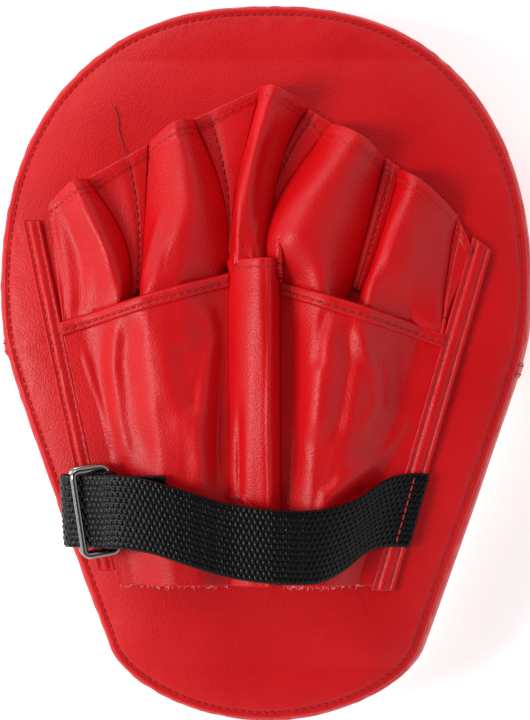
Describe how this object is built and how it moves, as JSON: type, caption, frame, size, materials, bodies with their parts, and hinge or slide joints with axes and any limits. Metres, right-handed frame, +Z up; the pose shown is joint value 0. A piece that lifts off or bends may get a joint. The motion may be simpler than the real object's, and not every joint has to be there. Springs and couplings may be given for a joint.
{
  "type": "hand-held punch mitt",
  "caption": "Hand-held punch mitt in red leather with finger stalls, a pleated hand cover and a black webbing wrist strap on two wire rings.",
  "frame": {"origin": "middle of the bounding box, on the plane the strike face rests on", "axes": "+X from the ring side of the strap to its sewn end, +Y from the wrist to the fingertips, +Z up from the strike face to the glove"},
  "size_m": [0.1892, 0.256, 0.0709],
  "materials": {
    "red_leather": "grained, satin",
    "white_leather": "grained, satin",
    "webbing": "woven, matte",
    "wire": "bright plated",
    "dense_foam": "matte",
    "soft_foam": "matte"
  },
  "bodies": {
    "pad": {"strike_cover_upper": "red_leather", "side_band_upper": "red_leather", "side_band_lower": "red_leather", "side_join_left": "red_leather", "side_join_right": "red_leather", "back_cover": "red_leather", "side_strip_left": "red_leather", "side_strip_right": "red_leather", "finger_stall_1": "red_leather", "finger_stall_2": "red_leather", "finger_stall_3": "red_leather", "finger_stall_4": "red_leather", "finger_stall_5": "red_leather", "stall_valley_1": "red_leather", "stall_valley_2": "red_leather", "stall_valley_3": "red_leather", "stall_valley_4": "red_leather", "stall_valley_5": "red_leather", "hand_cover_left": "red_leather", "cover_hem_left": "red_leather", "hand_cover_right": "red_leather", "cover_hem_right": "red_leather", "cover_pleat": "red_leather", "strike_cover_lower": "white_leather", "foam_front": "dense_foam", "foam_middle": "dense_foam", "foam_back": "soft_foam", "wrist_strap": "webbing", "anchor_tab": "webbing"},
    "ring_lower": {"ring_lower": "wire"},
    "ring_upper": {"ring_upper": "wire"},
    "strap_tail": {"strap_tail": "webbing"}
  },
  "joints": [
    {"name": "ring_lower_swing", "type": "hinge", "parent": "pad", "child": "ring_lower", "pos_m": [-0.05338, -0.05117, 0.05686], "axis": [-0.1382, 0.9837, 0.1153], "range_deg": [-1.5, 1.5]},
    {"name": "ring_upper_lift", "type": "hinge", "parent": "pad", "child": "ring_upper", "pos_m": [-0.05194, -0.05117, 0.0594], "axis": [-0.1382, 0.9837, 0.1153], "range_deg": [0, 60]},
    {"name": "strap_pull", "type": "slide", "parent": "pad", "child": "strap_tail", "axis": [1, 0, 0], "range_m": [0, 0.012]}
  ]
}
